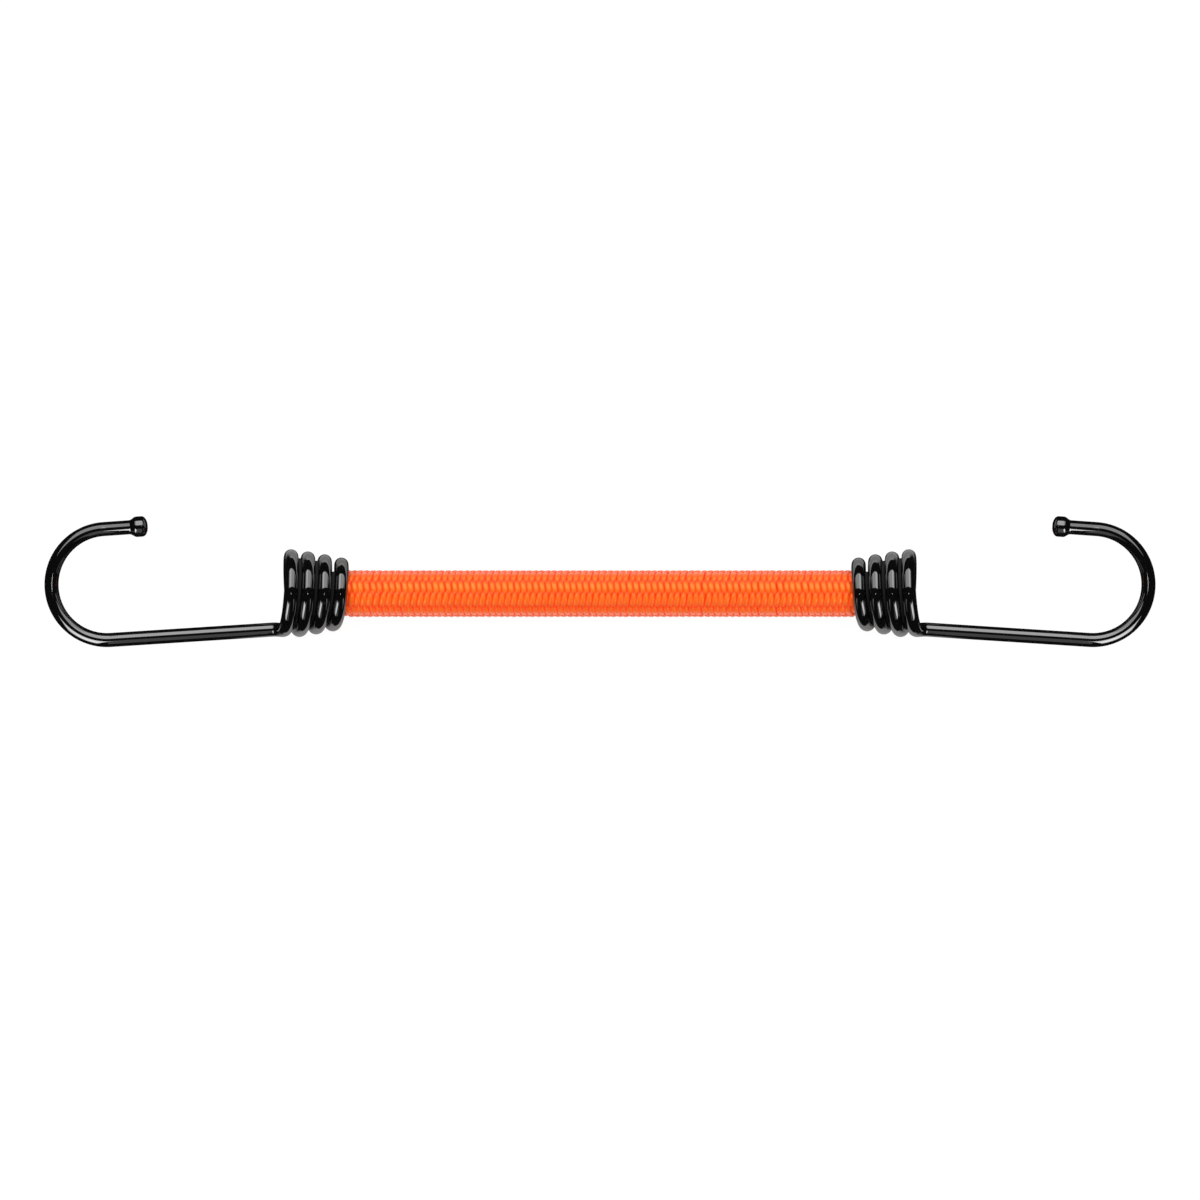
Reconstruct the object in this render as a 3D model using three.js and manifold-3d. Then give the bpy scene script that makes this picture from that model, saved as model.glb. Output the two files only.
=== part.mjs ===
// A short elastic bungee cord with a wound wire hook on each end.
// Millimetres, +Z up. The cord lies along X and the hooks lie flat in the XY plane.
// The origin is on the table, under the middle of the whole cord.
import * as THREE from 'three';
import { mergeVertices } from 'three/addons/utils/BufferGeometryUtils.js';
import Module from 'manifold-3d';

// Elastic cord
const cordDiameter = 10;
const visibleCordLength = 111.3;   // bare cord between the two hook windings, unstretched
const sheathWall = 1.05;
const coreClearance = 0.3;         // sheath bore to the bundle of strands
const strandGap = 0.1;
const strandLayers = 3;            // rings of strands round the middle one: 1 + 6 + 12 + 18
const gripSqueeze = 0.27;          // how far the last turn presses the sheath in
const gripRamp = 0.9;              // length over which the sheath narrows under the last turn
const cordEndOverhang = 1.5;       // cord that stands out past the clamp's neck
const cordEndSwell = 0.45;         // how far the cut end swells past the neck

// End clamps: steel wire rings closed round the cord inside each winding
const clampWireDiameter = 1.5;
const clampOpening = 14;           // degrees left open between the ring's two ends
const clampSeat = 0.2;             // ring to the sheath's neck
const neckWall = 0.4;              // sheath left under the clamp, pressed thin
const neckMargin = 0.4;            // neck past the clamp on each side

// Hook wire
const wireDiameter = 3.2;
const turnGap = 0.57;              // bare gap between neighbouring turns
const coilTurns = 3.75;
const taperTurns = 3.5;            // the turns past this one keep the grip radius
const taperPower = 1.35;           // above 1: the winding narrows faster towards the cord
const turnLean = 8.3;              // degrees that the tops of the turns lean towards the cord's middle
const gripClearance = 0.2;         // last turn to the squeezed sheath
const mouthClearance = 0.9;        // first turn to the clamp
const clampClearance = 0.35;       // clamp to the turn that traps it

// Hook, from the winding outwards
const elbowReach = 2.4;            // the shank starts this far past the first turn
const elbowLift = 0.45;            // the shank starts this much nearer to the cord's axis
const elbowTurn = 25;              // degrees of the first turn that the elbow takes up
const shankLength = 36.4;
const shankSlope = 3.66;           // degrees, away from the cord's axis
const bendRadius = 12.5;           // to the middle of the wire
const armLength = 9.9;
const armSlope = 4;                // degrees, opening away from the shank
const bulbDiameter = 4.5;
const bulbLength = 4.1;
const bulbFlare = 1.6;             // length over which the wire swells into the bulb
const bulbRounding = 1.1;          // length of the rounded nose
const noseFlat = 1.5;              // diameter of the small flat at the very tip

// The part rests on a small flat on the lowest turn of each winding
const flatDepth = 0.5;

// Facets
const wireSides = 10;
const clampSides = 8;
const strandSides = 6;
const sheathSegments = 24;
const stepsPerTurn = 24;
const elbowSteps = 6;
const shankSteps = 3;
const bendSteps = 20;
const flareSteps = 3;
const noseSteps = 4;
const rampSteps = 4;
const gapSamples = 1200;

// Worked out from the sizes above
const cordRadius = cordDiameter / 2;
const wireRadius = wireDiameter / 2;
const clampWireRadius = clampWireDiameter / 2;
const boreRadius = cordRadius - sheathWall;
const gripRadius = cordRadius - gripSqueeze;
const neckRadius = boreRadius + neckWall;
const endRadius = neckRadius + cordEndSwell;
const clampRingRadius = neckRadius + clampSeat + clampWireRadius;
const clampOuterRadius = clampRingRadius + clampWireRadius;
const pitch = wireDiameter + turnGap;
const lastTurnRadius = gripRadius + gripClearance + wireRadius;
const firstTurnRadius = clampOuterRadius + mouthClearance + wireRadius;
const taper = firstTurnRadius - lastTurnRadius;
const clampTurn = taperTurns * ((mouthClearance - clampClearance) / taper) ** (1 / taperPower);
const coilTail = visibleCordLength / 2 + wireRadius;
const coilMouth = coilTail + coilTurns * pitch;
const clampPlace = coilMouth - clampTurn * pitch;
const neckHalf = clampWireRadius + neckMargin;
const cordEnd = clampPlace + neckHalf + cordEndOverhang;

const radians = THREE.MathUtils.degToRad;

/** Radius of the winding's middle line after a number of turns from its mouth. */
function turnRadius(turn) {
  const share = Math.min(turn / taperTurns, 1);
  return lastTurnRadius + taper * (1 - share ** taperPower);
}

// A hook's own directions: x outwards along the cord, y across it in the hook's plane, z up
const shankStart = new THREE.Vector3(coilMouth + elbowReach, elbowLift - turnRadius(0), 0);
const shankWay = new THREE.Vector3(Math.cos(radians(shankSlope)), -Math.sin(radians(shankSlope)), 0);
const bendStart = shankStart.clone().addScaledVector(shankWay, shankLength);
const bendCentre = bendStart.clone().add(
  new THREE.Vector3(-shankWay.y, shankWay.x, 0).multiplyScalar(bendRadius));
const armWay = new THREE.Vector3(-Math.cos(radians(armSlope)), Math.sin(radians(armSlope)), 0);
const armStart = bendCentre.clone().add(
  new THREE.Vector3(armWay.y, -armWay.x, 0).multiplyScalar(bendRadius));
const hookTip = armStart.clone().addScaledVector(armWay, armLength);

// The lowest turn passes under the cord three quarters of a turn from the mouth
const restTurn = 0.75;
const axisHeight = turnRadius(restTurn) + wireRadius - flatDepth;
const hookTop = hookTip.y + bulbDiameter / 2;
const hookBottom = bendCentre.y - bendRadius - wireRadius;
const axisAcross = -(hookTop + hookBottom) / 2;

const steel = { color: 0xb4b6b8, roughness: 0.38, metalness: 1 };
const blackCoat = { color: 0x0d0d0e, roughness: 0.22, metalness: 0 };
const orangeBraid = { color: 0xff6a22, roughness: 0.85, metalness: 0 };
const latex = { color: 0xcdb890, roughness: 0.7, metalness: 0 };

const wasm = await Module();
wasm.setup();

/** A closed tube through a list of rings, each with a middle point and a radius, with flat ends. */
function sweptTube(rings, sides) {
  const vertices = [];
  const faces = [];
  const ways = rings.map((ring, i) => {
    const before = rings[Math.max(i - 1, 0)].point;
    const after = rings[Math.min(i + 1, rings.length - 1)].point;
    return after.clone().sub(before).normalize();
  });
  const side = new THREE.Vector3(0, 0, 1);
  rings.forEach((ring, i) => {
    side.addScaledVector(ways[i], -side.dot(ways[i])).normalize();
    const third = ways[i].clone().cross(side);
    for (let k = 0; k < sides; k += 1) {
      const angle = (2 * Math.PI * k) / sides;
      const spoke = side.clone().multiplyScalar(Math.cos(angle)).addScaledVector(third, Math.sin(angle));
      vertices.push(ring.point.clone().addScaledVector(spoke, ring.radius));
    }
  });
  for (let i = 0; i + 1 < rings.length; i += 1) {
    for (let k = 0; k < sides; k += 1) {
      const a = i * sides + k;
      const b = i * sides + ((k + 1) % sides);
      faces.push(a, b, b + sides, a, b + sides, a + sides);
    }
  }
  const last = (rings.length - 1) * sides;
  for (let k = 1; k + 1 < sides; k += 1) {
    faces.push(0, k + 1, k, last, last + k, last + k + 1);
  }
  const geometry = new THREE.BufferGeometry().setFromPoints(vertices);
  geometry.setIndex(faces);
  return geometry;
}

/** A geometry of positions alone, with its shared vertices merged. */
function positionsOnly(geometry) {
  const bare = geometry.clone();
  bare.deleteAttribute('normal');
  bare.deleteAttribute('uv');
  return mergeVertices(bare);
}

/** The first geometry with the second cut away from it. */
function cutAway(geometry, cutter) {
  const [body, tool] = [geometry, cutter].map((piece) => {
    const bare = positionsOnly(piece);
    return new wasm.Manifold(new wasm.Mesh({
      numProp: 3,
      vertProperties: new Float32Array(bare.attributes.position.array),
      triVerts: new Uint32Array(bare.index.array),
    }));
  });
  const cut = body.subtract(tool).getMesh();
  const result = new THREE.BufferGeometry();
  result.setAttribute('position', new THREE.BufferAttribute(cut.vertProperties, 3));
  result.setIndex(new THREE.BufferAttribute(cut.triVerts, 1));
  return result;
}

function namedMesh(name, geometry, finish) {
  const shaded = geometry.index && !geometry.attributes.normal ? geometry.toNonIndexed() : geometry;
  shaded.computeVertexNormals();
  const mesh = new THREE.Mesh(shaded, new THREE.MeshStandardMaterial(finish));
  mesh.name = name;
  return mesh;
}

/** A point on the winding's middle line, in the hook's own directions. */
function coilPoint(turn) {
  const angle = 2 * Math.PI * turn;
  const radius = turnRadius(turn);
  const up = radius * Math.sin(angle);
  const lean = up * Math.tan(radians(turnLean));
  return new THREE.Vector3(coilMouth - pitch * turn - lean, -radius * Math.cos(angle), up);
}

/** The elbow that leads from the shank into the first turn, as one smooth curve. */
function elbowCurve() {
  const joinTurn = elbowTurn / 360;
  const smallTurn = 0.001;
  const join = coilPoint(joinTurn);
  const joinWay = coilPoint(joinTurn + smallTurn).sub(join).normalize();
  // Handles as long as those of a quarter circle between the same two points
  const handle = shankStart.distanceTo(join) * (4 / 3) * (Math.SQRT2 - 1) * Math.SQRT1_2;
  return new THREE.CubicBezierCurve3(
    join,
    join.clone().addScaledVector(joinWay, -handle),
    shankStart.clone().addScaledVector(shankWay, -handle),
    shankStart,
  );
}

/** Radius of the wire near the hook's tip, at a distance back from the very end. */
function tipRadius(fromEnd) {
  const bulbRadius = bulbDiameter / 2;
  if (fromEnd < bulbRounding) {
    const noseReach = Math.sqrt(1 - (noseFlat / bulbDiameter) ** 2);
    const rise = noseReach * (1 - fromEnd / bulbRounding);
    return bulbRadius * Math.sqrt(1 - rise ** 2);
  }
  const swell = THREE.MathUtils.smoothstep(bulbLength - fromEnd, 0, bulbFlare);
  return THREE.MathUtils.lerp(wireRadius, bulbRadius, swell);
}

/** The middle line of a hook's wire from the winding's hidden end to the tip, as rings. */
function hookRings() {
  const rings = [];
  const add = (point, radius = wireRadius) => rings.push({ point, radius });
  const firstTurn = elbowTurn / 360;
  const coilSteps = Math.round((coilTurns - firstTurn) * stepsPerTurn);
  for (let i = 0; i < coilSteps; i += 1) {
    add(coilPoint(THREE.MathUtils.lerp(coilTurns, firstTurn, i / coilSteps)));
  }
  for (const point of elbowCurve().getPoints(elbowSteps)) {
    add(point);
  }
  for (let i = 1; i < shankSteps; i += 1) {
    add(shankStart.clone().addScaledVector(shankWay, (shankLength * i) / shankSteps));
  }
  const bendFrom = radians(-90 - shankSlope);
  const bendTo = radians(90 - armSlope);
  for (let i = 0; i <= bendSteps; i += 1) {
    const angle = THREE.MathUtils.lerp(bendFrom, bendTo, i / bendSteps);
    add(new THREE.Vector3(Math.cos(angle), Math.sin(angle), 0).multiplyScalar(bendRadius).add(bendCentre));
  }
  const addTip = (fromEnd) => add(hookTip.clone().addScaledVector(armWay, -fromEnd), tipRadius(fromEnd));
  for (let i = 0; i <= flareSteps; i += 1) {
    addTip(bulbLength - (bulbFlare * i) / flareSteps);
  }
  for (let i = 0; i <= noseSteps; i += 1) {
    addTip(bulbRounding * (1 - i / noseSteps));
  }
  return rings;
}

/** Least gap between neighbouring turns of the winding, measured on points along its middle line. */
function leastTurnGap() {
  const points = [];
  for (let i = 0; i <= gapSamples; i += 1) {
    points.push(coilPoint((coilTurns * i) / gapSamples));
  }
  points.push(...elbowCurve().getPoints(stepsPerTurn));
  const stepsPerHalfTurn = Math.ceil(gapSamples / coilTurns / 2);
  let least = Infinity;
  for (let i = 0; i < gapSamples; i += 1) {
    for (let k = i + stepsPerHalfTurn; k <= gapSamples; k += 1) {
      least = Math.min(least, points[i].distanceTo(points[k]));
    }
  }
  for (let i = gapSamples + 1; i < points.length; i += 1) {
    for (let k = stepsPerHalfTurn; k <= gapSamples; k += 1) {
      least = Math.min(least, points[i].distanceTo(points[k]));
    }
  }
  return least - wireDiameter;
}

/** A wound wire hook. The two hooks are mirror images, so end is -1 on the left and 1 on the right. */
function hook(name, end) {
  const placed = hookRings().map(({ point, radius }) => ({
    point: new THREE.Vector3(end * point.x, point.y + axisAcross, point.z + axisHeight),
    radius,
  }));
  const flatReach = 2 * firstTurnRadius;
  const table = new THREE.BoxGeometry(flatReach, flatReach, flatReach);
  table.translate(end * (coilMouth - restTurn * pitch), axisAcross, -flatReach / 2);
  return namedMesh(name, cutAway(sweptTube(placed, wireSides), table), blackCoat);
}

/** A steel ring closed round the cord, with a small opening between its ends. */
function endClamp(name, end) {
  const arc = 360 - clampOpening;
  const steps = Math.round((stepsPerTurn * arc) / 360);
  const rings = [];
  for (let i = 0; i <= steps; i += 1) {
    const angle = radians(clampOpening / 2 + (arc * i) / steps - 90);
    const across = clampRingRadius * Math.cos(angle);
    const up = clampRingRadius * Math.sin(angle);
    rings.push({ point: new THREE.Vector3(0, across, up), radius: clampWireRadius });
  }
  const mesh = namedMesh(name, sweptTube(rings, clampSides), steel);
  mesh.position.set(end * clampPlace, axisAcross, axisHeight);
  return mesh;
}

/** The braided tube: full size between the hooks, squeezed in the windings, necked at each clamp. */
function braidedSheath() {
  const half = [];
  const rampStart = coilTail - wireRadius;
  for (let i = 0; i <= rampSteps; i += 1) {
    const t = i / rampSteps;
    const radius = THREE.MathUtils.lerp(cordRadius, gripRadius, THREE.MathUtils.smoothstep(t, 0, 1));
    half.push(new THREE.Vector2(radius, rampStart + gripRamp * t));
  }
  half.push(new THREE.Vector2(gripRadius, clampPlace - 2 * neckHalf));
  half.push(new THREE.Vector2(neckRadius, clampPlace - neckHalf));
  half.push(new THREE.Vector2(neckRadius, clampPlace + neckHalf));
  half.push(new THREE.Vector2(endRadius, clampPlace + neckHalf + cordEndOverhang / 2));
  half.push(new THREE.Vector2(endRadius, cordEnd));
  const mirrored = half.map((p) => new THREE.Vector2(p.x, -p.y)).reverse();
  const bore = [new THREE.Vector2(boreRadius, cordEnd), new THREE.Vector2(boreRadius, -cordEnd)];
  const outline = [...mirrored, ...half, ...bore, mirrored[0]];
  const mesh = namedMesh('braided_sheath', new THREE.LatheGeometry(outline, sheathSegments), orangeBraid);
  mesh.rotation.z = -Math.PI / 2;
  mesh.position.set(0, axisAcross, axisHeight);
  return mesh;
}

/** Places of the strands in the core: one in the middle and six-sided rings round it. */
function strandPlaces(spacing) {
  const places = [new THREE.Vector2(0, 0)];
  for (let layer = 1; layer <= strandLayers; layer += 1) {
    for (let corner = 0; corner < 6; corner += 1) {
      const from = new THREE.Vector2(spacing * layer, 0).rotateAround(places[0], radians(60 * corner));
      const to = new THREE.Vector2(spacing * layer, 0).rotateAround(places[0], radians(60 * (corner + 1)));
      for (let step = 0; step < layer; step += 1) {
        places.push(from.clone().lerp(to, step / layer));
      }
    }
  }
  return places;
}

/** The stretchy core: straight rubber strands, side by side through the whole sheath. */
function rubberStrands() {
  const bundleRadius = boreRadius - coreClearance;
  const spacing = (bundleRadius + strandGap / 2) / (strandLayers + 0.5);
  const strandRadius = (spacing - strandGap) / 2;
  return strandPlaces(spacing).map((place, i) => {
    const geometry = new THREE.CylinderGeometry(strandRadius, strandRadius, 2 * cordEnd, strandSides);
    const mesh = namedMesh(`rubber_strand_${String(i + 1).padStart(2, '0')}`, geometry, latex);
    mesh.rotation.z = -Math.PI / 2;
    mesh.position.set(0, axisAcross + place.x, axisHeight + place.y);
    return mesh;
  });
}

console.log(`least gap between the turns of a hook: ${leastTurnGap().toFixed(2)} mm`);
console.log(`cord from end to end: ${(2 * cordEnd).toFixed(1)} mm, axis ${axisHeight.toFixed(2)} mm up`);

const group = new THREE.Group();
group.add(hook('left_hook_wire', -1), hook('right_hook_wire', 1));
group.add(endClamp('left_end_clamp', -1), endClamp('right_end_clamp', 1));
group.add(braidedSheath(), ...rubberStrands());

export default group;
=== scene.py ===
"""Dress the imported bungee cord: a braided orange cord with a black dipped wire hook wound on each end."""

import logging
import math
from dataclasses import dataclass
from enum import Enum
from typing import Any, Dict, List, Optional, Tuple, Union

import bpy
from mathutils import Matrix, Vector


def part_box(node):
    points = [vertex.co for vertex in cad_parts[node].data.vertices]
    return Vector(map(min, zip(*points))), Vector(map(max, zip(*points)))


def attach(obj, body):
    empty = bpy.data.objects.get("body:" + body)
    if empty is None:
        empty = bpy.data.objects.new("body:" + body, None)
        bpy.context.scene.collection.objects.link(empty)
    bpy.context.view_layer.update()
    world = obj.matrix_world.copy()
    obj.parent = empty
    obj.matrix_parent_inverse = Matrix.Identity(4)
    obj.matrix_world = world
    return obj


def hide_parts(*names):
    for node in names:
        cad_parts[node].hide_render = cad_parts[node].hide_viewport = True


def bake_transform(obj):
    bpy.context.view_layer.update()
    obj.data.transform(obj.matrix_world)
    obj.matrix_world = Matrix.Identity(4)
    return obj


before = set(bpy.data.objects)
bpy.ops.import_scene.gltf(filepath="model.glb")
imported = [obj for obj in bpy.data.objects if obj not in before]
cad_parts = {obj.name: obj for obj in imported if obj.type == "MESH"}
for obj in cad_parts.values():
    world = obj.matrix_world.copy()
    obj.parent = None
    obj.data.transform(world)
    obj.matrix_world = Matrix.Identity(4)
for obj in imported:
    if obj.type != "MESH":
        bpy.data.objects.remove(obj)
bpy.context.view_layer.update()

LOG = logging.getLogger("bungee_cord")
MM = 0.001
FULL_TURN = 2 * math.pi
Colour = Tuple[float, float, float]
Span = Tuple[float, float]
Number = Union[float, int, "Signal"]


class End(Enum):
    """An end of the cord, with its direction along X."""

    LEFT = -1
    RIGHT = 1

    @property
    def word(self) -> str:
        """The end's name as the nodes and bodies spell it."""
        return self.name.lower()


class Lay(Enum):
    """The two ways that yarns wind round the cord, seen from above with X to the right."""

    FALLING = -1
    RISING = 1


class Lamp(Enum):
    """What a panel is for: to light the surfaces, or to show in their reflections."""

    LIT = 1
    MIRRORED = 2


def link(made: bpy.types.Object) -> bpy.types.Object:
    """Put an object into the scene."""
    bpy.context.scene.collection.objects.link(made)
    return made


class Signal:
    """An output socket of a node tree that takes part in Python arithmetic."""

    def __init__(self, graph: "Graph", socket: bpy.types.NodeSocket) -> None:
        """Keep the socket together with the tree it belongs to."""
        self.graph = graph
        self.socket = socket

    def other(self, name: str) -> "Signal":
        """Another output of the same node."""
        return Signal(self.graph, self.socket.node.outputs[name])

    def __add__(self, value: Number) -> "Signal":
        """This signal plus a value."""
        return self.graph.math("ADD", self, value)

    def __radd__(self, value: Number) -> "Signal":
        """A value plus this signal."""
        return self.graph.math("ADD", value, self)

    def __sub__(self, value: Number) -> "Signal":
        """This signal less a value."""
        return self.graph.math("SUBTRACT", self, value)

    def __rsub__(self, value: Number) -> "Signal":
        """A value less this signal."""
        return self.graph.math("SUBTRACT", value, self)

    def __mul__(self, value: Number) -> "Signal":
        """This signal times a value."""
        return self.graph.math("MULTIPLY", self, value)

    def __rmul__(self, value: Number) -> "Signal":
        """A value times this signal."""
        return self.graph.math("MULTIPLY", value, self)

    def __truediv__(self, value: Number) -> "Signal":
        """This signal divided by a value."""
        return self.graph.math("DIVIDE", self, value)

    def __abs__(self) -> "Signal":
        """The signal without its sign."""
        return self.graph.math("ABSOLUTE", self)


class Graph:
    """A node tree that is written as Python expressions."""

    def __init__(self, tree: bpy.types.NodeTree) -> None:
        """Start an empty tree."""
        self.tree = tree
        tree.nodes.clear()

    def node(self, kind: str, settings: Optional[Dict[str, Any]] = None,
             sockets: Optional[Dict[Union[str, int], Any]] = None, output: str = "") -> Signal:
        """Add any node.

        Args:
            kind: the node's type name.
            settings: properties, set before the sockets.
            sockets: values, signals or lists of signals for the inputs, by name or by place.
            output: the output that is wanted, or the first one in use.

        Returns:
            The wanted output.
        """
        node = self.tree.nodes.new(kind)
        for name, value in (settings or {}).items():
            setattr(node, name, value)
        for key, value in (sockets or {}).items():
            named = [s for s in node.inputs if s.name == key and s.enabled]
            socket = named[0] if named else node.inputs[key]
            for item in value if isinstance(value, list) else [value]:
                self._feed(socket, item)
        if not node.outputs:
            return Signal(self, None)
        wanted = [s for s in node.outputs if s.enabled and (not output or s.name == output)]
        return Signal(self, wanted[0])

    def _feed(self, socket: bpy.types.NodeSocket, value: Any) -> None:
        """Link a signal to an input, or set a plain value on it.

        Args:
            socket: the input.
            value: the signal or the value.
        """
        if isinstance(value, Signal):
            self.tree.links.new(value.socket, socket)
        else:
            socket.default_value = value

    def math(self, operation: str, *values: Number) -> Signal:
        """Add a Math node.

        Args:
            operation: the node's operation.
            values: its one to three operands.

        Returns:
            The result.
        """
        node = self.tree.nodes.new("ShaderNodeMath")
        node.operation = operation
        for socket, value in zip(node.inputs, values):
            self._feed(socket, value)
        return Signal(self, node.outputs[0])

    def vector(self, x: Number, y: Number, z: Number) -> Signal:
        """Three numbers as one vector."""
        return self.node("ShaderNodeCombineXYZ", {}, {"X": x, "Y": y, "Z": z})

    def smooth(self, value: Number, low: Number, high: Number) -> Signal:
        """A soft step from 0 to 1.

        Args:
            value: what is measured.
            low: where the step starts.
            high: where it ends.

        Returns:
            The step's height.
        """
        return self.node("ShaderNodeMapRange", {"interpolation_type": "SMOOTHSTEP"},
                         {"Value": value, "From Min": low, "From Max": high})

    def sight(self) -> Tuple[Signal, Signal]:
        """Tell apart the rays that arrive.

        Returns:
            1 for what the camera sees, also through glass, and 1 for what reflections see.
        """
        rays = self.node("ShaderNodeLightPath", {}, {}, "Is Camera Ray")
        seen = self.math("MINIMUM", rays + rays.other("Is Transmission Ray"), 1.0)
        return seen, rays.other("Is Glossy Ray")


class Shader(Graph):
    """The node tree of one finish."""

    def __init__(self, name: str) -> None:
        """Start an empty material.

        Args:
            name: the material's name.
        """
        self.material = bpy.data.materials.new(name)
        self.material.use_nodes = True
        super().__init__(self.material.node_tree)

    def attribute(self, name: str) -> Signal:
        """A number that the piece's mesh carries."""
        return self.node("ShaderNodeAttribute", {"attribute_name": name}, {}, "Fac")

    def swept(self) -> Tuple[Signal, Signal, Signal]:
        """How far along its path a point lies, and its two coordinates on the section."""
        return self.attribute("along"), self.attribute("crest"), self.attribute("side")

    def noise(self, place: Signal, scale: float, detail: float = 2.0, roughness: float = 0.5) -> Signal:
        """Soft random patches.

        Args:
            place: where on the surface.
            scale: patches in one unit of place.
            detail: how many finer layers are added.
            roughness: how strong the finer layers are.

        Returns:
            A value from 0 to 1, 0.5 on average.
        """
        return self.node("ShaderNodeTexNoise", {}, {
            "Vector": place, "Scale": scale, "Detail": detail, "Roughness": roughness}, "Fac")

    def blend(self, share: Number, first: Any, second: Any) -> Signal:
        """A colour between two colours.

        Args:
            share: 0 gives the first, 1 the second.
            first: a colour or a signal.
            second: a colour or a signal.

        Returns:
            The mixed colour.
        """
        ends = [(*c, 1.0) if isinstance(c, tuple) else c for c in (first, second)]
        return self.node("ShaderNodeMix", {"data_type": "RGBA"},
                         {"Factor": share, "A": ends[0], "B": ends[1]})

    def bump(self, height: Signal, distance: float, strength: float = 1.0) -> Signal:
        """Small relief on the surface.

        Args:
            height: the relief, from 0 to 1.
            distance: what a height of 1 measures, in metres.
            strength: how much of it shows.

        Returns:
            The normal for the shader.
        """
        return self.node("ShaderNodeBump", {}, {"Height": height, "Distance": distance, "Strength": strength})

    def principled(self, sockets: Dict[str, Any]) -> Signal:
        """A Principled shader with these inputs."""
        return self.node("ShaderNodeBsdfPrincipled", {}, sockets)

    def surface(self, shader: Signal) -> bpy.types.Material:
        """Send a shader to the material's output."""
        self.node("ShaderNodeOutputMaterial", {}, {"Surface": shader})
        return self.material


class Sweep(Graph):
    """A Geometry Nodes tree that makes one piece, with named inputs for its sizes."""

    def __init__(self, name: str) -> None:
        """Start a tree with geometry in and out.

        Args:
            name: the tree's name.
        """
        super().__init__(bpy.data.node_groups.new(name, "GeometryNodeTree"))
        self.values: Dict[str, Any] = {}
        self.tree.interface.new_socket("Geometry", in_out="INPUT", socket_type="NodeSocketGeometry")
        self.tree.interface.new_socket("Geometry", in_out="OUTPUT", socket_type="NodeSocketGeometry")
        self.inputs = self.tree.nodes.new("NodeGroupInput")

    @property
    def geometry(self) -> Signal:
        """The geometry that comes in."""
        return Signal(self, self.inputs.outputs["Geometry"])

    def size(self, name: str, value: Any, kind: str = "NodeSocketFloat") -> Signal:
        """Add a named input.

        Args:
            name: the input's name.
            value: what the modifier sets it to.
            kind: the socket's type.

        Returns:
            The input's value inside the tree.
        """
        socket = self.tree.interface.new_socket(name, in_out="INPUT", socket_type=kind)
        self.values[socket.identifier] = value
        return Signal(self, self.inputs.outputs[name])

    def count(self, name: str, value: int) -> Signal:
        """Add a named input for a whole number."""
        return self.size(name, value, "NodeSocketInt")

    def spot(self) -> Signal:
        """Where a point is along X, on the node that also gives its Y and Z."""
        place = self.node("GeometryNodeInputPosition")
        return self.node("ShaderNodeSeparateXYZ", {}, {"Vector": place}, "X")

    def circle(self, sides: int, radius: Number) -> Signal:
        """A round curve with a number of corners."""
        return self.node("GeometryNodeCurvePrimitiveCircle", {}, {"Resolution": sides, "Radius": radius})

    def line(self, half: Signal, rings: Number) -> Signal:
        """A straight curve along X, with its middle at the origin.

        Args:
            half: how far it reaches to each side.
            rings: how many points it has.

        Returns:
            The curve.
        """
        line = self.node("GeometryNodeCurvePrimitiveLine", {}, {
            "Start": self.vector(half * -1, 0.0, 0.0), "End": self.vector(half, 0.0, 0.0)})
        return self.node("GeometryNodeResampleCurve", {}, {"Curve": line, "Count": rings})

    def move(self, geometry: Signal, place: Vector) -> Signal:
        """The geometry, moved from the origin to a place."""
        return self.node("GeometryNodeTransform", {}, {"Geometry": geometry, "Translation": tuple(place)})

    def keep(self, geometry: Signal, name: str, value: Number, domain: str = "POINT") -> Signal:
        """Store a number on the geometry for the finish to read.

        Args:
            geometry: what carries the number.
            name: the attribute's name.
            value: the number.
            domain: where it is stored.

        Returns:
            The geometry with its attribute.
        """
        return self.node("GeometryNodeStoreNamedAttribute", {"data_type": "FLOAT", "domain": domain},
                         {"Geometry": geometry, "Name": name, "Value": value})

    def sweep(self, path: Signal, section: Signal, scale: Number = 1.0) -> Signal:
        """A solid with closed ends, swept along a path.

        Args:
            path: the curve to follow.
            section: the curve of the cross-section.
            scale: how much larger the section is at each point of the path.

        Returns:
            The mesh, which carries how far along the path each point is, and its two coordinates on the
            section.
        """
        parameter = self.node("GeometryNodeSplineParameter", {}, {}, "Length")
        along = self.keep(path, "along", parameter)
        turn = parameter.other("Factor") * FULL_TURN
        crest = self.keep(section, "crest", self.math("COSINE", turn))
        side = self.keep(crest, "side", self.math("SINE", turn))
        return self.node("GeometryNodeCurveToMesh", {}, {
            "Curve": along, "Profile Curve": side, "Scale": scale, "Fill Caps": True})

    def piece(self, geometry: Signal, source: bpy.types.ID, name: str,
              material: bpy.types.Material) -> bpy.types.Object:
        """Close the tree, run it once on a source and keep the result as a plain mesh.

        Args:
            geometry: the tree's result.
            source: the mesh or curve data that the tree starts from.
            name: the piece's name.
            material: its finish.

        Returns:
            The finished piece, at the origin, with no modifier.
        """
        finish = self.size("Finish", material, "NodeSocketMaterial")
        real = self.node("GeometryNodeRealizeInstances", {}, {"Geometry": geometry})
        smooth = self.node("GeometryNodeSetShadeSmooth", {}, {"Geometry": real})
        dressed = self.node("GeometryNodeSetMaterial", {}, {"Geometry": smooth, "Material": finish})
        self.node("NodeGroupOutput", {}, {"Geometry": dressed})
        carrier = link(bpy.data.objects.new(name + "_source", source))
        modifier = carrier.modifiers.new(name, "NODES")
        modifier.node_group = self.tree
        for identifier, value in self.values.items():
            modifier[identifier] = value
        evaluated = carrier.evaluated_get(bpy.context.evaluated_depsgraph_get())
        mesh = bpy.data.meshes.new_from_object(evaluated)
        carrier.modifiers.remove(modifier)
        bpy.data.objects.remove(carrier)
        mesh.name = name
        LOG.info("%s: %d faces", name, len(mesh.polygons))
        return link(bpy.data.objects.new(name, mesh))


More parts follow.
